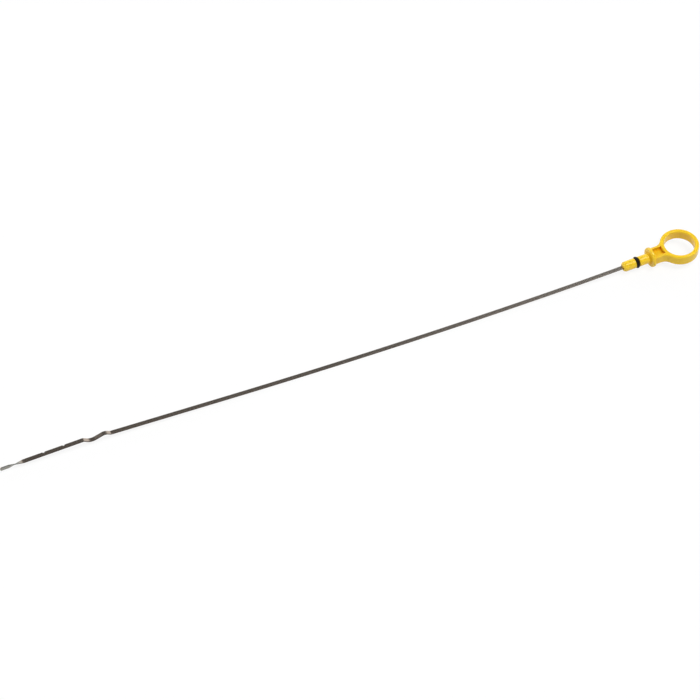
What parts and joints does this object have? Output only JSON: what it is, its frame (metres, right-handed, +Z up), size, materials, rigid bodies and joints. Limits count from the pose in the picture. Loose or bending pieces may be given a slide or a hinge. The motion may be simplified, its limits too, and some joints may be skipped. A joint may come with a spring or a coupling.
{
  "type": "engine oil dipstick",
  "caption": "Oil dipstick: moulded finger-ring handle with a seating flange and a sealed barrel on a long thin steel strip with a wave, level notches and a twisted end.",
  "frame": {"origin": "centre of the flange's seating face, on the barrel's axis", "axes": "+X towards the finger ring and -X towards the gauge end, +Z up off the surface that the part lies on, +Y completes the right hand; the barrel's axis rises 3.7 degrees from X towards the ring"},
  "size_m": [0.6161, 0.033, 0.017],
  "materials": {
    "handle_plastic": "satin moulded yellow",
    "seal_rubber": "smooth black",
    "strip_steel": "rolled spring steel, dull grey"
  },
  "bodies": {
    "root": {"handle": "handle_plastic", "seal_ring": "seal_rubber", "strip": "strip_steel"}
  },
  "joints": []
}
